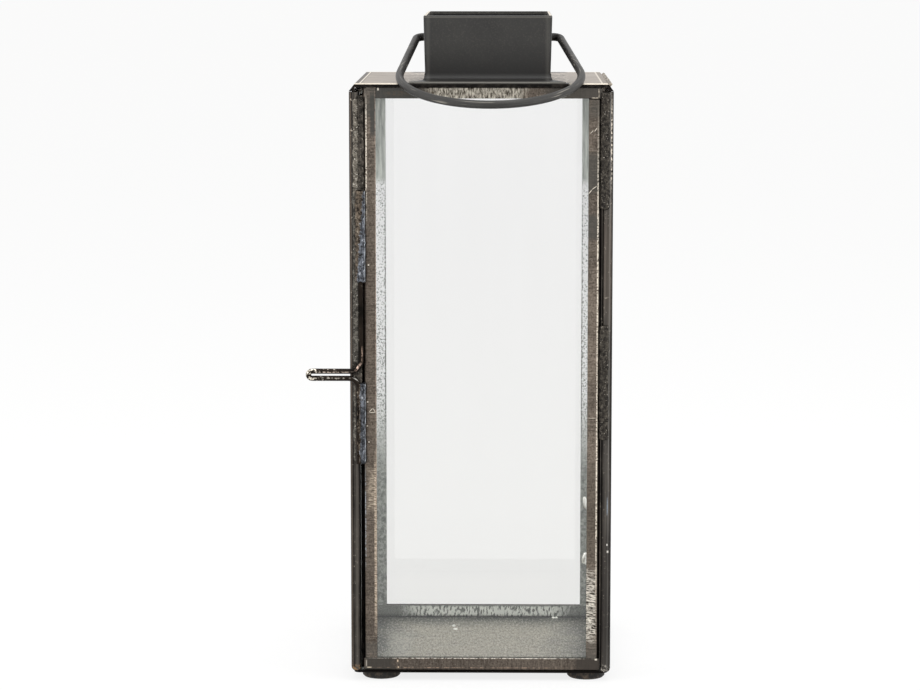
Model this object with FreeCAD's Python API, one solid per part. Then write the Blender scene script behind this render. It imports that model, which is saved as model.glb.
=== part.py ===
import FreeCAD, Part
import math
import os

# Candle lantern: a tall box of framed glass panels under a folded sheet roof with a chimney.
# Units are millimetres. Z is up, -Y is the front, and the origin is the middle of the feet's plane.

Vector = FreeCAD.Vector
Rotation = FreeCAD.Rotation
Placement = FreeCAD.Placement

# Driving sizes of the whole lantern
body_width = 130.0          # across the outer faces of the side panels
body_depth = 130.0          # along the side panels, front edge to back edge
panel_height = 293.8        # front and back panels, from the base plate to the roof sheet

# Framed panels: glass gripped by folded channel
glass_thickness = 3.0
glass_edge_gap = 1.6        # from the edge of the glass to the web of its channel
channel_sheet = 1.0
channel_flange = 6.6        # width of the strip that shows round the glass
channel_bend = 2.0          # outer radius where the web turns into a flange
channel_thickness = glass_thickness + 2 * channel_sheet
door_side_gap = 1.5         # front and back panels to the door's inner face
fixed_side_gap = 0.6        # front and back panels to the fixed side panel

# Base plate and feet
foot_diameter = 19.0
foot_height = 4.1
foot_edge_chamfer = 0.8
foot_inset = 13.3           # foot centres inside the body's outer faces, both ways
foot_shift = 1.4            # the feet stand a little to the right of the middle
base_sheet = 1.0
base_inset = 1.4            # base plate inside the side panels' outer faces
base_corner = 3.0

# Roof
roof_sheet = 0.8
roof_bevel_run = 3.0        # outward run of the bevelled side skirts
roof_bevel_drop = 3.85
roof_lip_drop = 2.0         # upright lips along the front and the back
roof_bend = 0.7             # outer radius of the folds
vent_margin = 4.0           # roof sheet left inside the chimney's walls

# Chimney
chimney_width_top = 64.0
chimney_width_bottom = 62.3
chimney_depth = 86.0
chimney_height = 32.6       # above the flat of the roof
chimney_sheet = 0.8
chimney_corner = 2.0
chimney_hem = 4.0           # height of the edge folded back inside the mouth
chimney_shift = 3.1         # the chimney stands a little to the right of the middle
chimney_cove = 3.2          # inside radius where a wall turns into its foot
chimney_foot_width = 77.0   # front foot at the roof's edge; the back foot is as wide as the tube
chimney_foot_setback = 0.6  # foot edge behind the roof's edge

# Bail handle
bail_wire = 4.0
bail_bow_radius = 44.6      # centreline of the round end
bail_reach = 107.0          # pivot to the far end of the centreline
bail_leg_offset = 4.6       # leg's corner outside the chimney wall at the pivot
bail_corner = 4.0           # centreline radius where a leg turns into the pivot
bail_shift = 1.4            # the bow is bent a little off the middle of the chimney
bail_pivot_height = 20.6    # above the flat of the roof
bail_hole_clearance = 0.08
bail_head_diameter = 6.4
bail_head_thickness = 1.2
bail_end_play = 0.4
bail_rest_gap = 0.3         # wire above the roof's front edge at rest

# Door: the left side panel
door_floor_gap = 0.5
door_roof_gap = 0.45

# Hinges at the back of the door
hinge_pin = 2.0
hinge_bore_clearance = 0.05
hinge_barrel = 4.0
hinge_leaf = 0.8
hinge_leaf_width = 4.2
hinge_knuckle = 9.0
hinge_knuckle_gap = 0.4
hinge_barrel_clearance = 0.4
hinge_end_distance = 52.0   # middle of a hinge from the end of the door
hinge_head_diameter = 3.2
hinge_head_thickness = 0.8

# Hairpin pull on the front edge of the door
pull_wire = 2.65
pull_gap = 0.9              # between the two legs of the hairpin
pull_reach = 21.8           # beyond the door's outer face
pull_bend = 5.0
pull_height = 150.6         # middle of the hairpin above the base plate
pull_upper_leg = 90.1
pull_lower_leg = 42.9
pull_overhang = 0.5         # upper leg stands over the gap beside the door's inner face
pull_lower_shift = 1.2      # lower leg further out than the upper

# Solder
pull_solder_width = 5.4
pull_solder_depth = 4.4
pull_solder_proud = 1.1     # middle of the bead in front of the door's edge
pull_solder_upper = 46.0
pull_solder_lower = 40.8
corner_solder_width = 5.0
corner_solder_depth = 3.4
corner_solder_length = 57.5
corner_solder_pitch = 115.0
solder_end_taper = 0.8

# Levels and planes worked out from the sizes above
base_bottom = foot_height
base_top = base_bottom + base_sheet
roof_underside = base_top + panel_height
roof_top = roof_underside + roof_sheet
skirt_bottom = roof_top - roof_bevel_drop
side_panel_top = skirt_bottom - door_roof_gap
side_inner = body_width / 2 - channel_thickness
panel_left = -side_inner + door_side_gap
panel_right = side_inner - fixed_side_gap
panel_face = body_depth / 2 - roof_sheet
pivot_level = roof_top + bail_pivot_height

os.makedirs("parts", exist_ok=True)


def save(name, *solids):
    """Write one node: a single solid, or a group of separate ones."""
    shape = solids[0] if len(solids) == 1 else Part.makeCompound(list(solids))
    shape.exportStep("parts/" + name + ".step")


def box(x0, y0, z0, x1, y1, z1):
    return Part.makeBox(x1 - x0, y1 - y0, z1 - z0, Vector(x0, y0, z0))


def rounded_rectangle(x0, y0, x1, y1, radius, z):
    """Closed wire of a rectangle with four round corners, at height z."""
    turn = radius * (1 - math.sqrt(0.5))
    corners = [(x0, y0, 1, 1), (x1, y0, -1, 1), (x1, y1, -1, -1), (x0, y1, 1, -1)]
    arcs = []
    for index, (x, y, inward_x, inward_y) in enumerate(corners):
        on_x = Vector(x + inward_x * radius, y, z)
        on_y = Vector(x, y + inward_y * radius, z)
        middle = Vector(x + inward_x * turn, y + inward_y * turn, z)
        ends = (on_y, on_x) if index % 2 == 0 else (on_x, on_y)
        arcs.append((ends[0], middle, ends[1]))
    edges = []
    for index, (start, middle, end) in enumerate(arcs):
        edges.append(Part.Arc(start, middle, end).toShape())
        edges.append(Part.makeLine(end, arcs[(index + 1) % 4][0]))
    return Part.Wire(edges)


def wire_rod(path_edges, start, direction, diameter):
    """Round wire swept along a path of straight runs and tangent arcs."""
    section = Part.Wire(Part.makeCircle(diameter / 2, start, direction))
    return Part.Wire(path_edges).makePipeShell([section], True, False)


def filleted_path(points, radii):
    """Straight runs through the points, with a tangent arc of its own radius at each inner point."""
    edges = []
    start = points[0]
    for corner, after, radius in zip(points[1:-1], points[2:], radii):
        arriving = (corner - start).normalize()
        leaving = (after - corner).normalize()
        half_turn = arriving.getAngle(leaving) / 2
        tangent = radius * math.tan(half_turn)
        arc_start = corner - arriving * tangent
        arc_end = corner + leaving * tangent
        bisector = (leaving - arriving).normalize()
        arc_middle = corner + bisector * (radius / math.cos(half_turn) - radius)
        if start.distanceToPoint(arc_start) > 1e-6:
            edges.append(Part.makeLine(start, arc_start))
        edges.append(Part.Arc(arc_start, arc_middle, arc_end).toShape())
        start = arc_end
    edges.append(Part.makeLine(start, points[-1]))
    return edges


def channel(length):
    """Folded channel: web on the plane X = 0, flanges along +X, thickness along Y, length along Z."""
    def bent_outline(offset, depth_end):
        radius = channel_bend - offset
        turn = radius * (1 - math.sqrt(0.5))
        low = offset
        high = channel_thickness - offset
        edges = [
            Part.makeLine(Vector(depth_end, low, 0), Vector(low + radius, low, 0)),
            Part.Arc(Vector(low + radius, low, 0), Vector(low + turn, low + turn, 0),
                     Vector(low, low + radius, 0)).toShape(),
            Part.makeLine(Vector(low, low + radius, 0), Vector(low, high - radius, 0)),
            Part.Arc(Vector(low, high - radius, 0), Vector(low + turn, high - turn, 0),
                     Vector(low + radius, high, 0)).toShape(),
            Part.makeLine(Vector(low + radius, high, 0), Vector(depth_end, high, 0)),
            Part.makeLine(Vector(depth_end, high, 0), Vector(depth_end, low, 0)),
        ]
        return Part.Face(Part.Wire(edges))

    folded = bent_outline(0.0, channel_flange).cut(bent_outline(channel_sheet, channel_flange + 1.0))
    return folded.extrude(Vector(0, 0, length))


def first_stile(bottom, top):
    bar = channel(top - bottom)
    bar.translate(Vector(0, 0, bottom))
    return bar


def second_stile(width, bottom, top):
    bar = channel(top - bottom)
    bar.Placement = Placement(Vector(width, channel_thickness, bottom), Rotation(Vector(0, 0, 1), 180))
    return bar


def bottom_rail(start, end):
    bar = channel(end - start)
    bar.Placement = Placement(Vector(start, channel_thickness, 0), Rotation(Vector(1, 0, 1), 180))
    return bar


def top_rail(height, start, end):
    bar = channel(end - start)
    bar.Placement = Placement(Vector(start, 0, height), Rotation(Vector(0, 1, 0), 90))
    return bar


def pane(width, height):
    inset = channel_sheet + glass_edge_gap
    return box(inset, channel_sheet, inset,
               width - inset, channel_thickness - channel_sheet, height - inset)


def corner_joined_panel(width, height):
    """Front or back panel: the bottom rail runs right across, the top rail over the second stile."""
    return {
        "first": first_stile(channel_flange, height),
        "second": second_stile(width, channel_flange, height - channel_flange),
        "bottom": bottom_rail(0, width),
        "top": top_rail(height, channel_flange, width),
        "glass": pane(width, height),
    }


def upright_joined_panel(width, height):
    """Side panel: both stiles run the whole height, and their lower ends are dressed round."""
    hull = box(0, 0, channel_bend, width, channel_thickness, height)
    hull = hull.fuse(box(0, channel_bend, 0, width, channel_thickness - channel_bend, channel_bend))
    for across in (channel_bend, channel_thickness - channel_bend):
        hull = hull.fuse(Part.makeCylinder(channel_bend, width, Vector(0, across, channel_bend),
                                           Vector(1, 0, 0)))
    return {
        "first": first_stile(0, height).common(hull),
        "second": second_stile(width, 0, height).common(hull),
        "bottom": bottom_rail(channel_flange, width - channel_flange),
        "top": top_rail(height, channel_flange, width - channel_flange),
        "glass": pane(width, height),
    }


def place_panel(pieces, corner, turn):
    """Stand a panel, drawn with its outer face towards -Y, at its corner and turned about Z."""
    for piece in pieces.values():
        piece.Placement = Placement(corner, Rotation(Vector(0, 0, 1), turn)).multiply(piece.Placement)


# Base plate: a flat sheet with round corners that the panels stand on
base_half_x = body_width / 2 - base_inset
base_half_y = body_depth / 2 - base_inset
base_outline = rounded_rectangle(-base_half_x, -base_half_y, base_half_x, base_half_y,
                                 base_corner, base_bottom)
save("base_plate", Part.Face(base_outline).extrude(Vector(0, 0, base_sheet)))

# Feet: four round pads under the base plate
feet = []
for side in (-1, 1):
    for end in (-1, 1):
        centre = Vector(foot_shift + side * (body_width / 2 - foot_inset),
                        end * (body_depth / 2 - foot_inset), 0)
        foot = Part.makeCylinder(foot_diameter / 2, foot_height, centre)
        rim = [edge for edge in foot.Edges if edge.BoundBox.ZMax < foot_height / 2]
        feet.append(foot.makeChamfer(foot_edge_chamfer, rim))
save("feet", *feet)

# Front and back panels, fixed between the door and the right side panel
panel_width = panel_right - panel_left
front = corner_joined_panel(panel_width, panel_height)
place_panel(front, Vector(panel_left, -panel_face, base_top), 0)
save("front_left_stile", front["first"])
save("front_right_stile", front["second"])
save("front_bottom_rail", front["bottom"])
save("front_top_rail", front["top"])
save("front_glass", front["glass"])

back = corner_joined_panel(panel_width, panel_height)
place_panel(back, Vector(panel_right, panel_face, base_top), 180)
save("back_right_stile", back["first"])
save("back_left_stile", back["second"])
save("back_bottom_rail", back["bottom"])
save("back_top_rail", back["top"])
save("back_glass", back["glass"])

# Right side panel, fixed
right = upright_joined_panel(body_depth, side_panel_top - base_top)
place_panel(right, Vector(body_width / 2, -body_depth / 2, base_top), 90)
save("right_front_stile", right["first"])
save("right_back_stile", right["second"])
save("right_bottom_rail", right["bottom"])
save("right_top_rail", right["top"])
save("right_glass", right["glass"])

# Door: the left side panel, which clears the base plate and the roof
door_bottom = base_top + door_floor_gap
door_height = side_panel_top - door_bottom
door = upright_joined_panel(body_depth, door_height)
place_panel(door, Vector(-body_width / 2, body_depth / 2, door_bottom), -90)
save("door_hinge_stile", door["first"])
save("door_front_stile", door["second"])
save("door_bottom_rail", door["bottom"])
save("door_top_rail", door["top"])
save("door_glass", door["glass"])

# Roof: one folded sheet with bevelled side skirts, upright front and back lips and a vent
half_width = body_width / 2
half_depth = body_depth / 2
flat_half = half_width - roof_bevel_run
bevel_slope = math.atan2(roof_bevel_drop, roof_bevel_run)
bevel_inset = roof_sheet / math.sin(bevel_slope)
inner_flat_half = flat_half - roof_sheet * math.tan(bevel_slope / 2)


def roof_profile(points, y_start, y_end):
    corners = [Vector(x, y_start, z) for x, z in points]
    return Part.Face(Part.makePolygon(corners + corners[:1])).extrude(Vector(0, y_end - y_start, 0))


roof_outside = roof_profile([(-half_width, skirt_bottom), (-flat_half, roof_top),
                             (flat_half, roof_top), (half_width, skirt_bottom)],
                            -half_depth, half_depth)
folds = [edge for edge in roof_outside.Edges if edge.BoundBox.ZMin > roof_top - 1e-6]
roof_outside = roof_outside.makeFillet(roof_bend, folds)
roof_hollow = roof_profile([(-half_width + bevel_inset, skirt_bottom), (-inner_flat_half, roof_underside),
                            (inner_flat_half, roof_underside), (half_width - bevel_inset, skirt_bottom)],
                           -panel_face, panel_face)
roof = roof_outside.cut(roof_hollow)
for end in (-1, 1):
    below_lip = box(-flat_half, panel_face, skirt_bottom, flat_half, half_depth, roof_top - roof_lip_drop)
    if end < 0:
        below_lip.translate(Vector(0, -panel_face - half_depth, 0))
    roof = roof.cut(below_lip)
vent_half_x = chimney_width_bottom / 2 - chimney_sheet - vent_margin
vent_half_y = chimney_depth / 2 - chimney_sheet - vent_margin
roof = roof.cut(box(chimney_shift - vent_half_x, -vent_half_y, roof_underside,
                    chimney_shift + vent_half_x, vent_half_y, roof_top))
save("roof", roof)


# Chimney: an open tube that tapers a little, with a hemmed mouth and a foot towards each roof edge
def chimney_half_width(level):
    share = (level - roof_top) / chimney_height
    return (chimney_width_bottom + share * (chimney_width_top - chimney_width_bottom)) / 2


def chimney_ring(level, inset):
    half_x = chimney_half_width(level) - inset
    half_y = chimney_depth / 2 - inset
    return rounded_rectangle(chimney_shift - half_x, -half_y, chimney_shift + half_x, half_y,
                             chimney_corner - inset / 2, level)


def chimney_tube(bottom, top, inset):
    return Part.makeLoft([chimney_ring(bottom, inset), chimney_ring(top, inset)], True, True)


chimney_top = roof_top + chimney_height
chimney_outside = chimney_tube(roof_top, chimney_top, 0.0)
rim = [edge for edge in chimney_outside.Edges if edge.BoundBox.ZMin > chimney_top - 1e-6]
chimney_outside = chimney_outside.makeFillet(chimney_sheet, rim)
chimney = chimney_outside.cut(chimney_tube(roof_top, chimney_top - chimney_hem, chimney_sheet))
chimney = chimney.cut(chimney_tube(chimney_top - chimney_hem, chimney_top, 2 * chimney_sheet))
wall_face = chimney_depth / 2
foot_edge = half_depth - chimney_foot_setback
foot_top = roof_top + chimney_sheet
bottom_half = chimney_width_bottom / 2
for end, foot_width in ((-1, chimney_foot_width), (1, chimney_width_bottom)):
    wall_inside = wall_face - chimney_sheet
    turn = chimney_cove * (1 - math.sqrt(0.5))
    foot_points = [Vector(0, end * y, z) for y, z in (
        (wall_inside, roof_top), (foot_edge, roof_top), (foot_edge, foot_top),
        (wall_face + chimney_cove, foot_top), (wall_face + turn, foot_top + turn),
        (wall_face, foot_top + chimney_cove), (wall_inside, foot_top + chimney_cove))]
    foot_edges = [Part.makeLine(foot_points[index], foot_points[index + 1]) for index in (0, 1, 2, 5)]
    foot_edges.insert(3, Part.Arc(foot_points[3], foot_points[4], foot_points[5]).toShape())
    foot_edges.append(Part.makeLine(foot_points[6], foot_points[0]))
    foot = Part.Face(Part.Wire(foot_edges)).extrude(Vector(foot_width, 0, 0))
    foot.translate(Vector(chimney_shift - foot_width / 2, 0, 0))
    flare = [Vector(chimney_shift + x, end * y, roof_top) for x, y in (
        (-bottom_half, wall_inside), (bottom_half, wall_inside),
        (foot_width / 2, foot_edge), (-foot_width / 2, foot_edge))]
    flare_plan = Part.Face(Part.makePolygon(flare + flare[:1]))
    chimney = chimney.fuse(foot.common(flare_plan.extrude(Vector(0, 0, chimney_height))))
for side in (-1, 1):
    hole = Part.makeCylinder(bail_wire / 2 + bail_hole_clearance, chimney_width_top,
                             Vector(chimney_shift, 0, pivot_level), Vector(side, 0, 0))
    chimney = chimney.cut(hole)
save("chimney", chimney.removeSplitter())

# Bail handle: one bent wire, headed inside the chimney, that rests forward on the roof's edge
wall_at_pivot = chimney_half_width(pivot_level)
head_outer = wall_at_pivot - chimney_sheet - bail_end_play
stub_end = head_outer - bail_head_thickness
bow_middle = Vector(chimney_shift + bail_shift, bail_bow_radius - bail_reach, 0)


def bail_leg(side):
    """Points of one side: the pivot's inner end, its corner, and where the leg meets the bow."""
    corner = Vector(chimney_shift + side * (wall_at_pivot + bail_leg_offset), 0, 0)
    to_corner = corner - bow_middle
    bearing = math.atan2(to_corner.y, to_corner.x) - side * math.acos(bail_bow_radius / to_corner.Length)
    meeting = bow_middle + Vector(math.cos(bearing), math.sin(bearing), 0) * bail_bow_radius
    return [Vector(chimney_shift + side * stub_end, 0, 0), corner, meeting]


left_leg = bail_leg(-1)
right_leg = bail_leg(1)
bow_end = bow_middle + Vector(0, -bail_bow_radius, 0)
bail_path = filleted_path(left_leg, [bail_corner])
bail_path.append(Part.Arc(left_leg[2], bow_end, right_leg[2]).toShape())
for edge in reversed(filleted_path(right_leg, [bail_corner])):
    bail_path.append(edge)
bail = wire_rod(bail_path, left_leg[0], Vector(1, 0, 0), bail_wire)
for side in (-1, 1):
    head = Part.makeCylinder(bail_head_diameter / 2, bail_head_thickness,
                             Vector(chimney_shift + side * stub_end, 0, 0), Vector(side, 0, 0))
    bail = bail.fuse(head)
edge_distance = math.hypot(half_depth, bail_pivot_height)
bail_slope = (math.atan2(bail_pivot_height, half_depth)
              - math.asin((bail_wire / 2 + bail_rest_gap) / edge_distance))
bail = bail.removeSplitter()
bail.rotate(Vector(0, 0, 0), Vector(1, 0, 0), math.degrees(bail_slope))
bail.translate(Vector(0, 0, pivot_level))
save("bail_handle", bail)

# Hinges: rolled knuckles on the back panel and on the door, turning on headed pins
barrel_radius = hinge_barrel / 2
bore_radius = hinge_pin / 2 + hinge_bore_clearance
hinge_y = panel_face + barrel_radius
door_round_x = -side_inner - channel_bend
door_round_y = half_depth - channel_bend
barrel_distance = barrel_radius + hinge_barrel_clearance + channel_bend
hinge_x = door_round_x + math.sqrt(barrel_distance ** 2 - (hinge_y - door_round_y) ** 2)
knuckle_step = hinge_knuckle + hinge_knuckle_gap
hinge_length = 3 * hinge_knuckle + 2 * hinge_knuckle_gap
leaf_start = barrel_radius + hinge_barrel_clearance
hinge_middles = (door_bottom + hinge_end_distance, side_panel_top - hinge_end_distance)


def barrel(level):
    return Part.makeCylinder(barrel_radius, hinge_knuckle, Vector(hinge_x, hinge_y, level))


def bored(shape, low):
    bore = Part.makeCylinder(bore_radius, hinge_length, Vector(hinge_x, hinge_y, low))
    return shape.cut(bore).removeSplitter()


body_leaves = []
door_leaves = []
pins = []
for middle in hinge_middles:
    low = middle - hinge_length / 2
    high = middle + hinge_length / 2
    body_leaf = box(hinge_x + leaf_start, panel_face, low,
                    hinge_x + leaf_start + hinge_leaf_width, panel_face + hinge_leaf, high)
    for level in (low, low + 2 * knuckle_step):
        body_leaf = body_leaf.fuse(barrel(level))
        body_leaf = body_leaf.fuse(box(hinge_x, panel_face, level,
                                       hinge_x + leaf_start, panel_face + hinge_leaf, level + hinge_knuckle))
    body_leaves.append(bored(body_leaf, low))
    door_level = low + knuckle_step
    leaf_right = hinge_x - leaf_start
    door_leaf = box(-half_width + channel_bend / 2, half_depth, low,
                    leaf_right, half_depth + hinge_leaf, high)
    door_leaf = door_leaf.fuse(box(leaf_right, half_depth, door_level,
                                   hinge_x, half_depth + hinge_leaf, door_level + hinge_knuckle))
    door_leaf = door_leaf.fuse(barrel(door_level))
    door_leaves.append(bored(door_leaf, low))
    pin = Part.makeCylinder(hinge_pin / 2, hinge_length, Vector(hinge_x, hinge_y, low))
    for level in (low - hinge_head_thickness, high):
        pin = pin.fuse(Part.makeCylinder(hinge_head_diameter / 2, hinge_head_thickness,
                                         Vector(hinge_x, hinge_y, level)))
    pins.append(pin.removeSplitter())
save("hinge_leaves_body", *body_leaves)
save("hinge_leaves_door", *door_leaves)
save("hinge_pins", *pins)

# Hairpin pull: one wire bent double, its ends spread up and down the front edge of the door
pull_y = -half_depth - pull_wire / 2
pull_x = -side_inner + pull_overhang
pull_level = base_top + pull_height
leg_half = (pull_wire + pull_gap) / 2
loop_x = -half_width - pull_reach + pull_wire / 2 + leg_half
upper = [Vector(pull_x, pull_y, pull_level + leg_half + pull_upper_leg),
         Vector(pull_x, pull_y, pull_level + leg_half),
         Vector(loop_x, pull_y, pull_level + leg_half)]
lower = [Vector(loop_x, pull_y, pull_level - leg_half),
         Vector(pull_x - pull_lower_shift, pull_y, pull_level - leg_half),
         Vector(pull_x - pull_lower_shift, pull_y, pull_level - leg_half - pull_lower_leg)]
pull_path = filleted_path(upper, [pull_bend])
pull_path.append(Part.Arc(upper[2], Vector(loop_x - leg_half, pull_y, pull_level), lower[0]).toShape())
pull_path.extend(filleted_path(lower, [pull_bend]))
pull = wire_rod(pull_path, upper[0], Vector(0, 0, 1), pull_wire)
save("door_pull", pull)


# Solder: beads that hold the pull to the door and the fixed panels to each other
def solder_bead(x, y, low, length, width, depth, neighbours):
    """Bead of two round faces with tapered ends, cut to the pieces that it runs against."""
    sections = []
    for level, inset in ((low, solder_end_taper), (low + solder_end_taper, 0),
                         (low + length - solder_end_taper, 0), (low + length, solder_end_taper)):
        left = Vector(x - width / 2 + inset, y, level)
        right = Vector(x + width / 2 - inset, y, level)
        front = Vector(x, y - depth / 2 + inset, level)
        back = Vector(x, y + depth / 2 - inset, level)
        sections.append(Part.Wire([Part.Arc(left, front, right).toShape(),
                                   Part.Arc(right, back, left).toShape()]))
    bead = Part.makeLoft(sections, True, True)
    for neighbour in neighbours:
        bead = bead.cut(neighbour)
    return max(bead.Solids, key=lambda solid: solid.Volume)


pull_beads = []
upper_end = pull_level + leg_half + pull_upper_leg
lower_end = pull_level - leg_half - pull_lower_leg
for low, length in ((upper_end - pull_solder_upper, pull_solder_upper), (lower_end, pull_solder_lower)):
    pull_beads.append(solder_bead(pull_x, -half_depth - pull_solder_proud, low, length,
                                  pull_solder_width, pull_solder_depth, [door["second"], pull]))
save("pull_solder", *pull_beads)

corner_beads = []
for end, panel, side_stile in ((-1, front, right["first"]), (1, back, right["second"])):
    neighbours = [panel["first"], panel["second"], panel["top"], side_stile]
    for step in (0, 1):
        low = side_panel_top - corner_solder_length - step * corner_solder_pitch
        corner_beads.append(solder_bead(side_inner + corner_solder_width / 5, end * half_depth, low,
                                        corner_solder_length, corner_solder_width, corner_solder_depth,
                                        neighbours))
save("corner_solder", *corner_beads)
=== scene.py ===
import math

import bpy
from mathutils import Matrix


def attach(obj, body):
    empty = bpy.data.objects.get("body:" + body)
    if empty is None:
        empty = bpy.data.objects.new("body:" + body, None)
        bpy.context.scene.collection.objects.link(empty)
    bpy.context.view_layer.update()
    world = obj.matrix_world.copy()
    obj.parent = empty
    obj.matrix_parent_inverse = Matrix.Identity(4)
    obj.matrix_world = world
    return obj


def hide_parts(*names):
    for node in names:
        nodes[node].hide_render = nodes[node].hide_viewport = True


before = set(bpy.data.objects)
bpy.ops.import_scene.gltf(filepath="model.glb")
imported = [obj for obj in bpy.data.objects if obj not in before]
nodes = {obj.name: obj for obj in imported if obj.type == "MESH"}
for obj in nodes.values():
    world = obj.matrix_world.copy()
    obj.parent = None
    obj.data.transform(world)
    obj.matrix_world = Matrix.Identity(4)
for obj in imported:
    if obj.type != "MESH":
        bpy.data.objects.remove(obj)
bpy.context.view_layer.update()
bpy.ops.object.select_all(action="DESELECT")


# Base plate: a square of tinned sheet steel that the four panels stand on.
# Its top is the floor of the lantern, rubbed dull by candles; the edge is blackened with the frame.


def linear(colour):
    """Linear RGBA for a colour written as sRGB hex."""
    levels = [int(colour[i : i + 2], 16) / 255 for i in (1, 3, 5)]
    return [c / 12.92 if c < 0.04045 else ((c + 0.055) / 1.055) ** 2.4 for c in levels] + [1.0]


def add(tree, kind, inputs=None, **settings):
    """Adds a shader node. An input that is a node or a socket is linked, and any other is set."""
    made = tree.nodes.new("ShaderNode" + kind)
    for name, value in settings.items():
        setattr(made, name, value)
    for key, value in (inputs or {}).items():
        if isinstance(key, int):
            into = made.inputs[key]
        else:
            into = next(socket for socket in made.inputs if socket.name == key and socket.enabled)
        if isinstance(value, bpy.types.Node):
            value = next(socket for socket in value.outputs if socket.enabled)
        if isinstance(value, bpy.types.NodeSocket):
            tree.links.new(value, into)
        else:
            into.default_value = value
    return made


def maths(tree, operation, *values):
    """A sum on nodes, sockets or plain numbers."""
    return add(tree, "Math", dict(enumerate(values)), operation=operation)


def ramp(tree, value, low, high, bottom=0.0, top=1.0):
    """Runs from bottom to top while a value runs from low to high, and stays level beyond."""
    limits = {"From Min": low, "From Max": high, "To Min": bottom, "To Max": top}
    return add(tree, "MapRange", {"Value": value} | limits)


def blend(tree, share, under, over):
    """Lays one colour over another by a share. Each colour is a node or is written as sRGB hex."""
    under, over = (linear(colour) if isinstance(colour, str) else colour for colour in (under, over))
    return add(tree, "Mix", {"Factor": share, "A": under, "B": over}, data_type="RGBA")


def drawn_noise(tree, place, sizes, detail, roughness):
    """Noise in lumps drawn out to a given size in millimetres along each axis."""
    drawn = add(tree, "Mapping", {"Vector": place, "Scale": [1000 / size for size in sizes]})
    return add(tree, "TexNoise", {"Vector": drawn, "Scale": 1.0, "Detail": detail, "Roughness": roughness})


def cloud_noise(tree, place, size, detail, roughness):
    """Noise in lumps of a given size in millimetres."""
    finer = {"Detail": detail, "Roughness": roughness}
    return add(tree, "TexNoise", {"Vector": place, "Scale": 1000 / size} | finer)


def metal(tree, colour, roughness, bump):
    """Makes the surface of a metal."""
    parts = {"Base Color": colour, "Metallic": 1.0, "Roughness": roughness, "Normal": bump}
    add(tree, "OutputMaterial", {"Surface": add(tree, "BsdfPrincipled", parts)})


def start_finish(name):
    """A new material with an empty node tree, and the Object coordinates to draw its patterns on."""
    finish = bpy.data.materials.new(name)
    finish.use_nodes = True
    finish.node_tree.nodes.clear()
    place = add(finish.node_tree, "TexCoord").outputs["Object"]
    return finish, finish.node_tree, place


def dress(finish, *names):
    """Puts a finish on CAD nodes."""
    for name in names:
        nodes[name].data.materials.clear()
        nodes[name].data.materials.append(finish)


def box_mask(tree, place, middle, half, turn=0.0, edge=0.25, ragged=None, rag=0.0):
    """1 within a box turned about Y, fading out over a share of its size, ragged where a noise is given."""
    local = add(
        tree,
        "Mapping",
        {"Vector": place, "Location": middle, "Rotation": (0.0, turn, 0.0), "Scale": half},
        vector_type="TEXTURE",
    )
    local = add(tree, "VectorMath", {0: local}, operation="ABSOLUTE")
    local = add(tree, "SeparateXYZ", {"Vector": local})
    reach = maths(tree, "MAXIMUM", local.outputs["X"], local.outputs["Z"])
    reach = maths(tree, "MAXIMUM", reach, local.outputs["Y"])
    if ragged:
        reach = maths(tree, "MULTIPLY_ADD", ragged, rag, reach)
        reach = maths(tree, "SUBTRACT", reach, rag / 2)
    return ramp(tree, reach, 1.0, 1.0 - edge)


# Tinned sheet steel, wiped and dull: a grey metal, warm and pale in the middle, with faint wipe marks.
tinned_sheet, tree, place = start_finish("tinned_sheet_steel_wiped")
axes = add(tree, "SeparateXYZ", {"Vector": place})
# Wipe marks are a few hundredths of a millimetre wide, drawn 3 mm wide, and the tin's grit is drawn 1 mm
# wide and 4 mm long, so that both still show on a floor seen at a low angle.
wipes = drawn_noise(tree, place, (30, 3, 30), 5.0, 0.7)
speckle = drawn_noise(tree, place, (1, 4, 1), 4.0, 0.7)
clouds = cloud_noise(tree, place, 22, 4.0, 0.6)
# The middle is painted warm and pale as a pool of light, palest towards the left, and the margins under the
# rails are painted grey as shade.
margin = add(tree, "VectorMath", {0: place, 1: (1.0, 1.0, 0.0)}, operation="MULTIPLY")
margin = add(tree, "VectorMath", {0: margin}, operation="ABSOLUTE")
margin = add(tree, "SeparateXYZ", {"Vector": margin})
margin = maths(tree, "MAXIMUM", margin.outputs["X"], margin.outputs["Y"])
ragged = maths(tree, "MULTIPLY_ADD", clouds, 0.03, margin)
lit_middle = ramp(tree, ragged, 0.072, 0.047)
colour = blend(tree, lit_middle, "#626562", "#aca798")
middle, half = (-0.0430, -0.0120, 0.005), (0.0080, 0.0450, 0.01)
pale = box_mask(tree, place, middle, half, edge=0.5, ragged=clouds, rag=0.6)
pale = maths(tree, "MULTIPLY", pale, 0.5)
colour = blend(tree, pale, colour, "#d0cec3")
for noise, low, high, share, shade in (
    (wipes, 0.52, 0.68, 0.5, "#c3beb1"),
    (wipes, 0.48, 0.32, 0.5, "#85827a"),
    (speckle, 0.52, 0.64, 0.75, "#d3cfc3"),
    (speckle, 0.48, 0.36, 0.70, "#63625d"),
):
    level = ramp(tree, noise, low, high, 0.0, share)
    colour = blend(tree, level, colour, shade)
# The rim outside the panels is painted black as the shadow under the panels, and the cut edge is black.
edge = ramp(tree, axes.outputs["Z"], 0.00495, 0.00475)
rim = ramp(tree, margin, 0.0598, 0.0604)
rim = maths(tree, "MAXIMUM", edge, rim)
colour = blend(tree, rim, colour, "#1a1817")
roughness = ramp(tree, wipes, 0.3, 0.7, 0.42, 0.58)
bump = add(tree, "Bump", {"Height": speckle, "Strength": 0.25, "Distance": 0.0002})
metal(tree, colour, roughness, bump)
dress(tinned_sheet, "base_plate")


# Feet: four round pads under the corners of the base plate, moulded in dark rubber and glued on.
# They keep the sheet off the table, and their sides pick up dust and brown rub marks.


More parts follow.
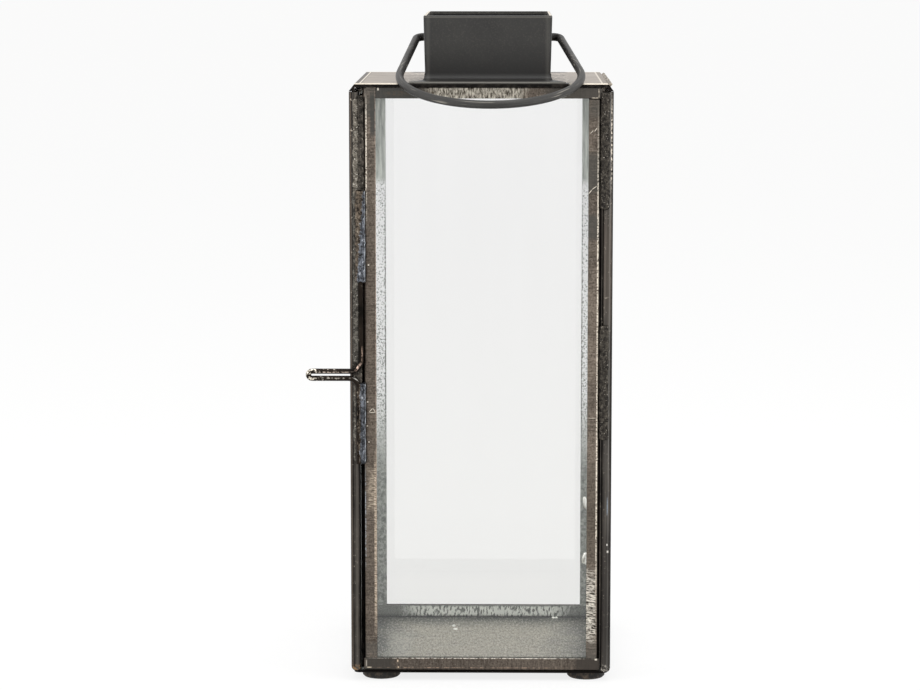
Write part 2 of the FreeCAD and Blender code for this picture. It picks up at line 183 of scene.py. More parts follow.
def satin(tree, colour, roughness, index, bump):
    """Makes the soft surface of rubber or paint, with a given index of refraction."""
    parts = {"Base Color": colour, "Roughness": roughness, "IOR": index, "Specular IOR Level": 0.35}
    add(tree, "OutputMaterial", {"Surface": add(tree, "BsdfPrincipled", parts | {"Normal": bump})})


# Moulded rubber: nearly black and matt, with a brown dusty bloom on the side and a fine moulded grain.
foot_rubber, tree, place = start_finish("moulded_rubber_dusty")
dust = cloud_noise(tree, place, 3.5, 5.0, 0.65)
grain = cloud_noise(tree, place, 0.6, 2.0, 0.5)
dust_level = ramp(tree, dust, 0.46, 0.66)
colour = blend(tree, dust_level, "#171513", "#5a4e43")
roughness = ramp(tree, dust, 0.0, 1.0, 0.5, 0.8)
bump = add(tree, "Bump", {"Height": grain, "Strength": 0.35, "Distance": 0.0002})
satin(tree, colour, roughness, 1.52, bump)
dress(foot_rubber, "feet")


# Front and back panels: a pane each in a frame of brass channel, folded from strip and soldered at its
# corners. The frames were dipped in a dark patina, wiped across the strip, and the tinned side within
# stayed silver.


def start_patina(name, along):
    """Patina on strips along X or Z: brown and grey blotches under fine wipe lines across the strip."""
    finish, tree, place = start_finish(name)
    # Wiping leaves lines as fine as the cloth's threads, drawn 0.8 mm apart, and the patina's grain is
    # drawn 0.8 mm wide, so that both show.
    sizes = (9, 9, 0.8) if along == "Z" else (0.8, 9, 9)
    lines = drawn_noise(tree, place, sizes, 3.0, 0.6)
    blotches = cloud_noise(tree, place, 24, 5.0, 0.6)
    grain = cloud_noise(tree, place, 0.8, 2.0, 0.6)
    level = ramp(tree, blotches, 0.38, 0.60)
    colour = blend(tree, level, "#645c54", "#81766b")
    for noise, low, high, share, shade in (
        (grain, 0.50, 0.34, 0.75, "#453e38"),
        (grain, 0.56, 0.70, 0.60, "#a3978a"),
        (lines, 0.50, 0.30, 0.60, "#453d37"),
        (lines, 0.55, 0.72, 0.55, "#a09385"),
    ):
        level = ramp(tree, noise, low, high, 0.0, share)
        colour = blend(tree, level, colour, shade)
    return finish, tree, place, lines, grain, colour


def end_patina(finish, tree, lines, grain, colour, tin, tinned, tin_roughness):
    """Covers the tinned side with its own colour and makes the metal."""
    colour = blend(tree, tinned, colour, tin)
    roughness = ramp(tree, lines, 0.3, 0.7, 0.54, 0.40)
    roughness = add(tree, "Mix", {"Factor": tinned, "A": roughness, "B": tin_roughness})
    relief = maths(tree, "ADD", lines, grain)
    bump = add(tree, "Bump", {"Height": relief, "Strength": 0.2, "Distance": 0.0002})
    metal(tree, colour, roughness, bump)
    return finish


def break_edges(*names):
    """Rounds the cut edges of CAD nodes by a file's stroke, so that they catch light and joints show."""
    for name in names:
        merge = nodes[name].modifiers.new("merge_triangles", "WELD")
        merge.merge_threshold = 1e-6
        stroke = nodes[name].modifiers.new("file_stroke", "BEVEL")
        stroke.width = 0.00025
        stroke.segments = 2
        stroke.limit_method = "ANGLE"
        stroke.angle_limit = math.radians(40)
        stroke.harden_normals = True


# Patinated brass stiles: a brown-grey metal with faint wipe lines, a cream line where the fold wears
# through, and patches near the foot wiped back to bright solder between dark strokes.
stile, tree, place, lines, grain, colour = start_patina("patinated_brass_stile", "Z")
axes = add(tree, "SeparateXYZ", {"Vector": place})
rub = cloud_noise(tree, place, 4.5, 6.0, 0.7)
# Marks on the front strips are drawn in boxes about a plane 1 mm behind the face.
front = -0.0640
# The patina is darker on the left stile and low on the right one, and grey at the ends and in two bands.
for middle, half, share, shade in (
    ((-0.0550, front, 0.1300), (0.01, 0.02, 0.1400), 0.30, "#473f38"),
    ((0.0550, front, 0.0840), (0.01, 0.02, 0.0300), 0.45, "#4a443d"),
    ((0.0, 0.0, 0.2950), (0.08, 0.08, 0.0130), 0.75, "#53524e"),
    ((-0.0525, front, 0.2850), (0.0024, 0.02, 0.0120), 0.85, "#4d4d4a"),
    ((0.0, 0.0, 0.0080), (0.08, 0.08, 0.0130), 0.75, "#53524e"),
    ((0.0560, front, 0.2560), (0.01, 0.02, 0.0112), 0.75, "#53524e"),
    ((0.0565, front, 0.2290), (0.01, 0.02, 0.0070), 0.75, "#53524e"),
):
    grey = box_mask(tree, place, middle, half, edge=0.3, ragged=rub, rag=0.5)
    grey = maths(tree, "MULTIPLY", grey, share)
    colour = blend(tree, grey, colour, shade)
# Strokes of the wiping iron, about 0.7 mm apart and aslant, leave bright solder between dark grooves.
stroke_place = add(
    tree,
    "Mapping",
    {"Vector": place, "Rotation": (0.0, 0.14, 0.0), "Scale": (0.0030, 0.008, 0.00065)},
    vector_type="TEXTURE",
)
strokes = add(tree, "TexNoise", {"Vector": stroke_place, "Scale": 1.0, "Detail": 4.0, "Roughness": 0.7})
for middle, half, bright, dark, rag in (
    ((0.0545, front, 0.0385), (0.0036, 0.01, 0.0200), "#e6dfd2", "#352f29", 1.1),
    ((-0.0530, front, 0.0970), (0.0040, 0.01, 0.0120), "#b3a695", "#665c52", 1.2),
    ((-0.0524, front, 0.0700), (0.0009, 0.01, 0.0480), "#d6c6b2", "#75685b", 0.6),
):
    patch = box_mask(tree, place, middle, half, edge=0.35, ragged=rub, rag=rag)
    level = ramp(tree, strokes, 0.44, 0.57)
    wiped = blend(tree, level, dark, bright)
    colour = blend(tree, patch, colour, wiped)
# The fold wears to a cream line of fine dots: all along the right stile, and high up on the left one.
dots = cloud_noise(tree, place, 0.7, 2.0, 0.5)
for middle, half, cream, low, high in (
    ((0.05755, front, 0.1600), (0.00042, 0.01, 0.1330), "#f3e9d8", 0.36, 0.52),
    ((-0.05655, front, 0.2610), (0.00042, 0.01, 0.0340), "#e9dfcf", 0.38, 0.54),
    ((-0.05750, front, 0.0830), (0.00030, 0.01, 0.0270), "#b9bec3", 0.44, 0.56),
    ((-0.05210, front, 0.1700), (0.00025, 0.01, 0.1500), "#b3a294", 0.36, 0.54),
):
    line = box_mask(tree, place, middle, half, edge=0.4)
    wear_and_highlight_dots = ramp(tree, dots, low, high)
    line = maths(tree, "MULTIPLY", line, wear_and_highlight_dots)
    colour = blend(tree, line, colour, cream)
# Scratches and solder dots show pale metal, each with a painted shadow as a dark line along its lower edge.
for x, z, length, width, turn in (
    (0.0537, 0.2465, 0.0028, 0.00045, -0.90),
    (0.0557, 0.2485, 0.0032, 0.00040, -0.62),
    (0.0543, 0.2759, 0.0023, 0.00035, -0.89),
    (0.0563, 0.2771, 0.0026, 0.00040, -0.98),
    (0.0552, 0.1338, 0.0040, 0.00020, 0.0),
    (0.0579, 0.1133, 0.0009, 0.00090, 0.0),
    (-0.0556, 0.2102, 0.0009, 0.00090, 0.0),
    (-0.0563, 0.1418, 0.0009, 0.00090, 0.0),
    (-0.0565, 0.1297, 0.0007, 0.00070, 0.0),
    (-0.0557, 0.1216, 0.0007, 0.00070, 0.0),
    (-0.0547, 0.1376, 0.0028, 0.00040, -0.85),
    (-0.0530, 0.1375, 0.0026, 0.00035, 1.10),
    (-0.0540, 0.1364, 0.0032, 0.00035, 0.0),
):
    half = (length / 2, 0.01, width / 2)
    for drop, shade in ((0.0005, "#26221f"), (0.0, "#efe6d6")):
        mark = box_mask(tree, place, (x, front, z - drop), half, turn=turn, edge=0.5)
        colour = blend(tree, mark, colour, shade)
# The outer fold beside the neighbouring panels is painted dark as shade, and a dark line stays at the
# butted corners.
edge_left = ramp(tree, axes.outputs["Z"], 0.224, 0.230, -0.0577, -0.0571)
beyond_left = maths(tree, "SUBTRACT", edge_left, axes.outputs["X"])
fold_shade_left = ramp(tree, beyond_left, 0.0, 0.0003)
fold_shade_right = ramp(tree, axes.outputs["X"], 0.0580, 0.0582)
fold_shade = maths(tree, "MAXIMUM", fold_shade_left, fold_shade_right)
high_left = ramp(tree, axes.outputs["Z"], 0.240, 0.252)
high_left = maths(tree, "MULTIPLY", high_left, fold_shade_left)
level = ramp(tree, dots, 0.30, 0.66)
level = maths(tree, "MULTIPLY", level, high_left)
outer_right = ramp(tree, axes.outputs["X"], 0.0584, 0.0590, 0.0, 0.22)
level = maths(tree, "MAXIMUM", level, outer_right)
shade_mottle = blend(tree, level, "#141211", "#7b7167")
colour = blend(tree, fold_shade, colour, shade_mottle)
seam = maths(tree, "COMPARE", axes.outputs["Z"], 0.2921, 0.0003)
on_right = maths(tree, "GREATER_THAN", axes.outputs["X"], 0.0)
seam = maths(tree, "MULTIPLY", seam, on_right)
colour = blend(tree, seam, colour, "#1b1917")
# Within the lantern the tinning is smooth grey-green above, bright pitted solder at the middle with a
# dotted grey line along its inner edge, and grey below.
mottle = cloud_noise(tree, place, 1.5, 4.0, 0.65)
drawn = drawn_noise(tree, place, (1.4, 1.4, 16), 4.0, 0.65)
level = ramp(tree, drawn, 0.35, 0.65)
tin = blend(tree, level, "#9da29c", "#dde1da")
low = ramp(tree, axes.outputs["Z"], 0.120, 0.085)
level = ramp(tree, mottle, 0.36, 0.66)
low_tin = blend(tree, level, "#6c706c", "#b6b9b2")
tin = blend(tree, low, tin, low_tin)
low_end = ramp(tree, axes.outputs["Z"], 0.085, 0.130)
high_end = ramp(tree, axes.outputs["Z"], 0.2440, 0.2400)
bright = maths(tree, "MULTIPLY", low_end, high_end)
pits = cloud_noise(tree, place, 0.9, 3.0, 0.6)
fewer = ramp(tree, axes.outputs["Z"], 0.150, 0.195, 0.0, 0.04)
pits = maths(tree, "ADD", pits, fewer)
level = ramp(tree, pits, 0.38, 0.51)
white_tin = blend(tree, level, "#959993", "#ffffff")
tin = blend(tree, bright, tin, white_tin)
for x in (-0.0521, 0.0530):
    line = box_mask(tree, place, (x, 0.0620, 0.1650), (0.0004, 0.01, 0.0800), edge=0.4)
    level = ramp(tree, pits, 0.66, 0.50)
    line = maths(tree, "MULTIPLY", line, level)
    tin = blend(tree, line, tin, "#6f736d")
depth = maths(tree, "ABSOLUTE", axes.outputs["Y"])
tinned = ramp(tree, depth, 0.0604, 0.0601)
outside_fold_shade = maths(tree, "SUBTRACT", 1.0, fold_shade)
tinned = maths(tree, "MULTIPLY", tinned, outside_fold_shade)
stile = end_patina(stile, tree, lines, grain, colour, tin, tinned, 0.6)
dress(stile, "front_left_stile", "front_right_stile", "back_left_stile", "back_right_stile")

# Patinated brass rails: the same metal, grey at the soldered ends, wiped bright in the top rail's middle.
rail, tree, place, lines, grain, colour = start_patina("patinated_brass_rail", "X")
axes = add(tree, "SeparateXYZ", {"Vector": place})
rub = cloud_noise(tree, place, 4.5, 6.0, 0.7)
for middle, half, shade in (
    ((-0.0450, front, 0.2956), (0.0210, 0.02, 0.0060), "#464644"),
    ((0.0480, front, 0.2956), (0.0190, 0.02, 0.0060), "#504d49"),
    ((-0.0510, front, 0.0084), (0.0088, 0.02, 0.0060), "#4b4a46"),
    ((0.0560, front, 0.0084), (0.0100, 0.02, 0.0060), "#494541"),
):
    grey = box_mask(tree, place, middle, half, edge=0.3, ragged=rub, rag=0.6)
    grey = maths(tree, "MULTIPLY", grey, 0.9)
    colour = blend(tree, grey, colour, shade)
# The bottom rail keeps more of its brown patina.
brown = ramp(tree, axes.outputs["Z"], 0.020, 0.014, 0.0, 0.5)
colour = blend(tree, brown, colour, "#423c37")
strokes = drawn_noise(tree, place, (0.9, 8, 2.6), 4.0, 0.7)
middle, half = (-0.0018, front, 0.2965), (0.0270, 0.02, 0.0055)
patch = box_mask(tree, place, middle, half, edge=0.25, ragged=rub, rag=0.5)
level = ramp(tree, strokes, 0.41, 0.60)
wiped = blend(tree, level, "#4a443c", "#cdc6b8")
colour = blend(tree, patch, colour, wiped)
# Rubbed edges come and go along the rails, and solder dots mark the ends of the soldering.
dots = cloud_noise(tree, place, 1.1, 2.0, 0.5)
for middle, half, cream, low, high in (
    ((0.0, front, 0.0116), (0.0600, 0.02, 0.00025), "#dcd5c9", 0.40, 0.56),
    ((-0.0020, front, 0.0068), (0.0560, 0.02, 0.00022), "#b09885", 0.46, 0.64),
    ((-0.0380, front, 0.2979), (0.0110, 0.02, 0.00040), "#cfc2ae", 0.36, 0.54),
    ((-0.0350, front, 0.2948), (0.0140, 0.02, 0.00120), "#5f544a", 0.40, 0.70),
    ((0.0430, front, 0.2979), (0.0150, 0.02, 0.00040), "#a9a299", 0.36, 0.54),
    ((0.0560, front, 0.2926), (0.0020, 0.02, 0.00030), "#d6cab8", 0.30, 0.46),
    ((0.0577, front, 0.2955), (0.00030, 0.02, 0.0030), "#d6cab8", 0.34, 0.50),
    ((-0.0506, front, 0.2969), (0.00050, 0.02, 0.0008), "#dcd4c6", 0.20, 0.30),
    ((-0.0417, front, 0.0103), (0.00040, 0.02, 0.0007), "#d8c3a8", 0.20, 0.30),
    ((-0.0414, front, 0.0070), (0.00040, 0.02, 0.0005), "#d8c3a8", 0.20, 0.30),
    ((-0.0560, front, 0.0069), (0.0014, 0.02, 0.00035), "#cfc2ad", 0.30, 0.40),
    ((-0.0574, front, 0.0090), (0.00035, 0.02, 0.0020), "#a9a196", 0.30, 0.40),
    ((0.0578, front, 0.0112), (0.0007, 0.02, 0.0005), "#e4dccd", 0.20, 0.30),
):
    line = box_mask(tree, place, middle, half, edge=0.5)
    wear_and_highlight_dots = ramp(tree, dots, low, high)
    line = maths(tree, "MULTIPLY", line, wear_and_highlight_dots)
    colour = blend(tree, line, colour, cream)
# Within the lantern the rails' tin has set in upright crystals, brightest in the middle of the back rail.
crystal_place = add(
    tree,
    "Mapping",
    {"Vector": place, "Rotation": (0.0, 0.12, 0.0), "Scale": (0.0013, 0.006, 0.0035)},
    vector_type="TEXTURE",
)
crystals = add(tree, "TexNoise", {"Vector": crystal_place, "Scale": 1.0, "Detail": 4.0, "Roughness": 0.65})
level = ramp(tree, grain, 0.35, 0.65)
tin = blend(tree, level, "#6b6e69", "#959891")
middle, half = (0.0020, 0.0600, 0.0085), (0.0480, 0.02, 0.0032)
grown = box_mask(tree, place, middle, half, edge=0.25, ragged=rub, rag=0.4)
level = ramp(tree, crystals, 0.43, 0.50)
grown = maths(tree, "MULTIPLY", grown, level)
tin = blend(tree, grown, tin, "#e8eae4")
depth = maths(tree, "ABSOLUTE", axes.outputs["Y"])
tinned = ramp(tree, depth, 0.0604, 0.0601)
rail = end_patina(rail, tree, lines, grain, colour, tin, tinned, 0.75)
dress(rail, "front_top_rail", "front_bottom_rail", "back_top_rail", "back_bottom_rail")
for side in ("front", "back"):
    break_edges(*(f"{side}_{strip}" for strip in ("left_stile", "right_stile", "top_rail", "bottom_rail")))


# Right panel and door: two narrower frames of the same channel, turned so that their webs close the front
# corners. The right one is soldered in; the left one hangs on hinges as the door, and both were left darker
# than the front.

# Blackened brass: near-black brown, smooth, with faint streaks along the strip and a painted highlight as a
# light band on the web.
blackened, tree, place = start_finish("blackened_brass_channel")
axes = add(tree, "SeparateXYZ", {"Vector": place})
across = maths(tree, "ABSOLUTE", axes.outputs["X"])
depth = maths(tree, "ABSOLUTE", axes.outputs["Y"])
# Drawing the strip leaves hair-fine streaks along it, drawn 1.1 mm wide so that they show.
streaks = drawn_noise(tree, place, (1.1, 1.1, 40), 4.0, 0.6)
blotches = cloud_noise(tree, place, 13, 5.0, 0.62)
crust = cloud_noise(tree, place, 1.4, 4.0, 0.7)
level = ramp(tree, blotches, 0.36, 0.62)
colour = blend(tree, level, "#32302e", "#484440")
for low, high, share, shade in ((0.50, 0.66, 0.5, "#6b645c"), (0.48, 0.34, 0.6, "#1d1b19")):
    level = ramp(tree, streaks, low, high, 0.0, share)
    colour = blend(tree, level, colour, shade)
# Along each front web run a light band of painted highlight, a thin rubbed line, a dark crease of painted
# shade, and the black of the folds, which is painted shade.
on_front = ramp(tree, depth, 0.0628, 0.0634)
for x, half, shade, share in (
    (-0.0618, 0.0009, "#6b665f", 0.5),
    (-0.0635, 0.00025, "#0d0c0b", 0.9),
    (-0.0643, 0.0004, "#6b5d51", 0.6),
    (-0.0650, 0.0004, "#12100f", 0.8),
    (-0.0600, 0.0005, "#0d0c0b", 0.8),
    (0.0600, 0.0005, "#151312", 0.6),
    (0.0623, 0.0019, "#625e59", 0.4),
    (0.0634, 0.0003, "#9b9894", 0.45),
    (0.0649, 0.0007, "#0f0d0c", 0.9),
):
    off = maths(tree, "SUBTRACT", axes.outputs["X"], x)
    off = maths(tree, "ABSOLUTE", off)
    band = ramp(tree, off, half, half * 0.3, 0.0, share)
    band = maths(tree, "MULTIPLY", band, on_front)
    colour = blend(tree, band, colour, shade)
# The right web is paler between its beads and darker at the foot, with rubbed spots and a few marks.
web_face = -0.0650
for middle, half, shade, share, low, high in (
    ((0.0624, web_face, 0.2090), (0.0026, 0.01, 0.0300), "#6e645b", 0.3, 0.1, 0.3),
    ((0.0641, web_face, 0.2700), (0.0004, 0.01, 0.0240), "#c2b8aa", 0.9, 0.46, 0.56),
    ((0.0625, web_face, 0.0420), (0.0030, 0.01, 0.0400), "#2b2928", 0.5, 0.1, 0.3),
    ((0.0630, web_face, 0.0895), (0.0003, 0.01, 0.0050), "#98a4b0", 0.8, 0.3, 0.5),
    ((0.0630, web_face, 0.0700), (0.0004, 0.01, 0.0006), "#dedad2", 1.0, 0.1, 0.3),
    ((0.0633, web_face, 0.0665), (0.0005, 0.01, 0.0007), "#dedad2", 1.0, 0.1, 0.3),
):
    mark = box_mask(tree, place, middle, half, edge=0.5)
    level = ramp(tree, crust, low, high, 0.0, share)
    level = maths(tree, "MULTIPLY", mark, level)
    colour = blend(tree, level, colour, shade)
# Sparse pale grains of solder lie on the webs, mostly on the upper half.
grains = ramp(tree, crust, 0.63, 0.69)
upper = ramp(tree, axes.outputs["Z"], 0.05, 0.24, 0.4, 1.0)
grains = maths(tree, "MULTIPLY", grains, upper)
colour = blend(tree, grains, colour, "#bdb3a4")
# The round lower end of the door's stile was dressed with brass; the right one is spattered with solder.
ends = ramp(tree, axes.outputs["Z"], 0.0090, 0.0070)
ends = maths(tree, "MULTIPLY", ends, on_front)
for side, low, high, shade in (
    ("LESS_THAN", 0.46, 0.58, "#94795c"),
    ("GREATER_THAN", 0.54, 0.60, "#d9d2c6"),
):
    here = maths(tree, side, axes.outputs["X"], 0.0)
    level = ramp(tree, crust, low, high)
    level = maths(tree, "MULTIPLY", level, here)
    level = maths(tree, "MULTIPLY", level, ends)
    colour = blend(tree, level, colour, shade)
# Within the lantern the tinning stays silver.
within_x = maths(tree, "LESS_THAN", across, 0.0603)
within_y = maths(tree, "LESS_THAN", depth, 0.0588)
within = maths(tree, "MULTIPLY", within_x, within_y)
level = ramp(tree, crust, 0.36, 0.60)
tin = blend(tree, level, "#7b7e79", "#a6a9a3")
colour = blend(tree, within, colour, tin)
roughness = ramp(tree, streaks, 0.3, 0.7, 0.50, 0.36)
relief = maths(tree, "ADD", crust, streaks)
bump = add(tree, "Bump", {"Height": relief, "Strength": 0.2, "Distance": 0.0003})
metal(tree, colour, roughness, bump)
side_strips = [f"right_{strip}" for strip in ("front_stile", "back_stile", "top_rail", "bottom_rail")]
side_strips += [f"door_{strip}" for strip in ("front_stile", "hinge_stile", "top_rail", "bottom_rail")]
dress(blackened, *side_strips)
break_edges(*side_strips)


# Panes: four sheets of 3 mm clear glass, each slid into its channels before the last strip was soldered on.
# They are plain window glass with faint wipe marks.

# Float glass: clear and a little grey, so that two panes together dim the background slightly.
clear_glass, tree, place = start_finish("float_glass_clear")
axes = add(tree, "SeparateXYZ", {"Vector": place})
smears = drawn_noise(tree, place, (12, 12, 90), 3.0, 0.5)
level = ramp(tree, smears, 0.35, 0.65)
tint = blend(tree, level, "#f9f9f9", "#fafafa")
# Dust settles towards the foot of each pane.
dust = ramp(tree, axes.outputs["Z"], 0.28, 0.02)
tint = blend(tree, dust, tint, "#f5f5f4")
surface = {"Roughness": 0.0, "IOR": 1.52, "Specular IOR Level": 0.15, "Transmission Weight": 1.0}
shader = add(tree, "BsdfPrincipled", {"Base Color": tint} | surface)
clear_to_lamps = add(tree, "BsdfTransparent", {"Color": linear("#f8f9f9")})
light_path = add(tree, "LightPath")
shader = add(tree, "MixShader", {0: light_path.outputs["Is Shadow Ray"], 1: shader, 2: clear_to_lamps})
add(tree, "OutputMaterial", {"Surface": shader})
dress(clear_glass, "front_glass", "back_glass", "right_glass", "door_glass")


# Corner solder: rough beads that fix the right panel to the front and back panels, two at each corner.
# The solder is tin and lead, run in with a hot iron and blackened afterwards, so it lies in lumps with
# bright high spots.


def copy_bead(name, node):
    """A merged copy of a CAD bead, selected and active."""
    piece = bpy.data.objects.new(name, nodes[node].data.copy())
    bpy.context.scene.collection.objects.link(piece)
    bpy.ops.object.select_all(action="DESELECT")
    piece.select_set(True)
    bpy.context.view_layer.objects.active = piece
    bpy.ops.mesh.customdata_custom_splitnormals_clear()
    bpy.ops.object.mode_set(mode="EDIT")
    bpy.ops.mesh.select_all(action="SELECT")
    bpy.ops.mesh.remove_doubles(threshold=1e-6)
    bpy.ops.object.mode_set(mode="OBJECT")
    piece.data.materials.clear()
    return piece


def push_lumps(piece, size, height):
    """Pushes the active piece in and out by clouds of a given size and height."""
    clouds = bpy.data.textures.new(f"{piece.name}_lumps", "CLOUDS")
    clouds.noise_scale = size
    push = piece.modifiers.new("lumps", "DISPLACE")
    push.texture = clouds
    push.texture_coords = "LOCAL"
    push.strength = height
    bpy.ops.object.modifier_apply(modifier=push.name)


def roughen(piece, voxel, lumps):
    """Gives the active piece an even fine mesh, and then lumps of given sizes and heights."""
    fine = piece.modifiers.new("even_mesh", "REMESH")
    fine.mode = "VOXEL"
    fine.voxel_size = voxel
    bpy.ops.object.modifier_apply(modifier=fine.name)
    for size, height in lumps:
        push_lumps(piece, size, height)
    bpy.ops.object.shade_smooth()


def rough_solder(name, hollow, brown, pale, pale_from):
    """Solder in lumps: dull hollows, a second colour above them, and bright grains on the high spots."""
    finish, tree, place = start_finish(name)
    lumps = cloud_noise(tree, place, 1.8, 6.0, 0.7)
    grains = cloud_noise(tree, place, 0.7, 3.0, 0.65)
    level = ramp(tree, lumps, 0.42, 0.62)
    colour = blend(tree, level, hollow, brown)
    level = ramp(tree, grains, pale_from, pale_from + 0.08)
    colour = blend(tree, level, colour, pale)
    roughness = ramp(tree, lumps, 0.3, 0.7, 0.55, 0.3)
    bump = add(tree, "Bump", {"Height": grains, "Strength": 0.35, "Distance": 0.0004})
    metal(tree, colour, roughness, bump)
    return finish


# Blackened solder: charcoal in the hollows, with grey and cream grains where the high spots were rubbed.
corner_beads = copy_bead("corner_beads", "corner_solder")
roughen(corner_beads, 0.0004, ((0.0030, 0.0006), (0.0009, 0.0003)))
black_solder = rough_solder("blackened_tin_solder", "#2a2826", "#555049", "#c9c1b4", 0.63)
corner_beads.data.materials.append(black_solder)
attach(corner_beads, "body")
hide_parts("corner_solder")


# Gap strips: folded strips of blackened brass that close the upright gaps beside the front and back panels.
# On the right they are soldered fast; on the left the front one is the stop that the door closes against.


def settle(name, size, turn, spot):
    """Names the new shape, and works its size, its turn about Y and its place into its mesh."""
    piece = bpy.context.active_object
    piece.name = name
    piece.data.name = name
    bpy.ops.object.mode_set(mode="EDIT")
    bpy.ops.mesh.select_all(action="SELECT")
    bpy.ops.transform.resize(value=size, center_override=(0.0, 0.0, 0.0))
    bpy.ops.transform.rotate(value=turn, orient_axis="Y", center_override=(0.0, 0.0, 0.0))
    bpy.ops.transform.translate(value=spot)
    bpy.ops.object.mode_set(mode="OBJECT")
    return piece


def bar(name, low, high):
    """A plain bar between two corners, with its place in its mesh."""
    middle = [(a + b) / 2 for a, b in zip(low, high)]
    bpy.ops.object.select_all(action="DESELECT")
    bpy.ops.mesh.primitive_cube_add(size=1.0, location=(0.0, 0.0, 0.0))
    return settle(name, [b - a for a, b in zip(low, high)], 0.0, middle)


# Blackened brass painted black with a little brown as painted shade, so that the gaps read as deep shadow.
gap_shade_brass, tree, place = start_finish("blackened_brass_painted_gap_shade")
shade_mottle = cloud_noise(tree, place, 2.4, 5.0, 0.65)
level = ramp(tree, shade_mottle, 0.45, 0.68)
colour = blend(tree, level, "#0a0909", "#2a2623")
bump = add(tree, "Bump", {"Height": shade_mottle, "Strength": 0.4, "Distance": 0.0004})
metal(tree, colour, 0.62, bump)
for name, low, high, finish in (
    ("door_stop", (-0.05985, -0.0612, 0.0064), (-0.0584, -0.0600, 0.2946), gap_shade_brass),
    ("seam_strip_front", (0.0593, -0.0641, 0.0064), (0.0601, -0.0600, 0.2946), blackened),
    ("seam_strip_back", (0.0593, 0.0600, 0.0064), (0.0601, 0.0641, 0.2946), blackened),
):
    strip = bar(name, low, high)
    fold = strip.modifiers.new("folded_edges", "BEVEL")
    fold.width = 0.0002
    fold.segments = 3
    bpy.ops.object.modifier_apply(modifier=fold.name)
    bpy.ops.object.shade_smooth_by_angle(angle=math.radians(40))
    strip.data.materials.append(finish)
    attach(strip, "body")


# Door crust: a rough skin of flux and solder that ran down the door's front edge around the ends of the
# pull. It was blackened with the rest and rubbed since, so grey-brown and cream grains stand out of it.

# Flux crust: grey-brown with cream grains, painted darker as shade between the pull's bends and towards the
# gap, and palest on the upper part, where it was rubbed most.
brown_crust = rough_solder("flux_and_solder_crust", "#3b3936", "#7a766e", "#d3cec4", 0.61)
shaded_crust = rough_solder("flux_crust_painted_shade", "#2b2926", "#5d5750", "#b9b2a6", 0.63)
rubbed_crust = rough_solder("flux_crust_rubbed", "#4b4741", "#8f887d", "#e3ddd1", 0.60)
for name, low, high, finish in (
    ("door_crust_lower", (-0.0633, -0.0657, 0.1122), (-0.0588, -0.0646, 0.1500), brown_crust),
    ("door_crust_bends", (-0.0633, -0.0656, 0.1490), (-0.0588, -0.0646, 0.1630), shaded_crust),
    ("door_crust_middle", (-0.0633, -0.0657, 0.1620), (-0.0588, -0.0646, 0.2460), brown_crust),
    ("door_crust_upper", (-0.0631, -0.0656, 0.2440), (-0.0606, -0.0646, 0.2920), rubbed_crust),
    ("door_crust_edge", (-0.0608, -0.0655, 0.2440), (-0.0577, -0.0646, 0.2938), shaded_crust),
):
    crust = bar(name, low, high)
    roughen(crust, 0.00045, ((0.0040, 0.0010), (0.0012, 0.0004)))
    crust.data.materials.append(finish)
    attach(crust, "door")


# Solder chips: splashes of solder that stuck where they fell, on the back panel's right stile and on the
# floor. They were never blackened, and they set as flat smooth drops.

# Bright solder: a white metal with soft dark pits.
bright_solder, tree, place = start_finish("bright_tin_solder")
pits = cloud_noise(tree, place, 1.2, 4.0, 0.6)
level = ramp(tree, pits, 0.30, 0.46)
colour = blend(tree, level, "#9c9c96", "#fafaf4")
bump = add(tree, "Bump", {"Height": pits, "Strength": 0.3, "Distance": 0.0003})
metal(tree, colour, 0.35, bump)
for name, spot, size, turn in (
    ("chip_upper", (0.0553, 0.0592, 0.0684), (0.0012, 0.0005, 0.0036), 0.15),
    ("chip_lower", (0.0552, 0.0592, 0.0380), (0.0014, 0.0005, 0.0032), -0.2),
    ("chip_lower_tail", (0.0560, 0.0592, 0.0352), (0.0009, 0.0004, 0.0011), 0.6),
    ("drop_floor", (-0.0151, 0.0383, 0.0052), (0.0010, 0.0018, 0.0005), 0.0),
    ("drop_floor_front", (-0.0142, 0.0306, 0.0052), (0.0013, 0.0017, 0.0005), 0.0),
    ("drop_rail", (0.0383, 0.0584, 0.0052), (0.0009, 0.0010, 0.0008), 0.0),
    ("drop_rail_right", (0.0399, 0.0584, 0.0052), (0.0009, 0.0010, 0.0008), 0.0),
):
    bpy.ops.object.select_all(action="DESELECT")
    bpy.ops.mesh.primitive_uv_sphere_add(segments=24, ring_count=12, radius=1.0, location=(0.0, 0.0, 0.0))
    chip = settle(name, size, turn, spot)
    push_lumps(chip, 0.0016, 0.0005)
    bpy.ops.object.shade_smooth()
    chip.data.materials.append(bright_solder)
    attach(chip, "body")


# Roof: one sheet with its sides bent down as bevels and a narrow lip folded over at the front and the back.
# Its patina was wiped thin on top, which is also painted pale as the reflection it shows at a low angle,
# and the solder around the chimney left scratches and dark spots.

# Wiped brass sheet: a warm brown-grey metal, painted pale as the reflection it shows at a low angle.
wiped_and_sheen_roof, tree, place = start_finish("patinated_brass_sheet_wiped_painted_sheen")
axes = add(tree, "SeparateXYZ", {"Vector": place})
# Wipe marks are as fine as thread, drawn 6 mm wide so that they show at a low angle, and crumbs of flux
# are drawn longer from front to back for the same reason.
streaks = drawn_noise(tree, place, (50, 6, 10), 5.0, 0.65)
blotches = cloud_noise(tree, place, 16, 5.0, 0.62)
crumbs = drawn_noise(tree, place, (2.4, 9, 2.4), 5.0, 0.7)
level = ramp(tree, blotches, 0.35, 0.65)
colour = blend(tree, level, "#978b7f", "#aba094")
for noise, low, high, share, shade in (
    (streaks, 0.50, 0.70, 0.5, "#c6bcae"),
    (streaks, 0.48, 0.32, 0.5, "#83786d"),
    (crumbs, 0.44, 0.32, 0.4, "#857a6f"),
):
    level = ramp(tree, noise, low, high, 0.0, share)
    colour = blend(tree, level, colour, shade)
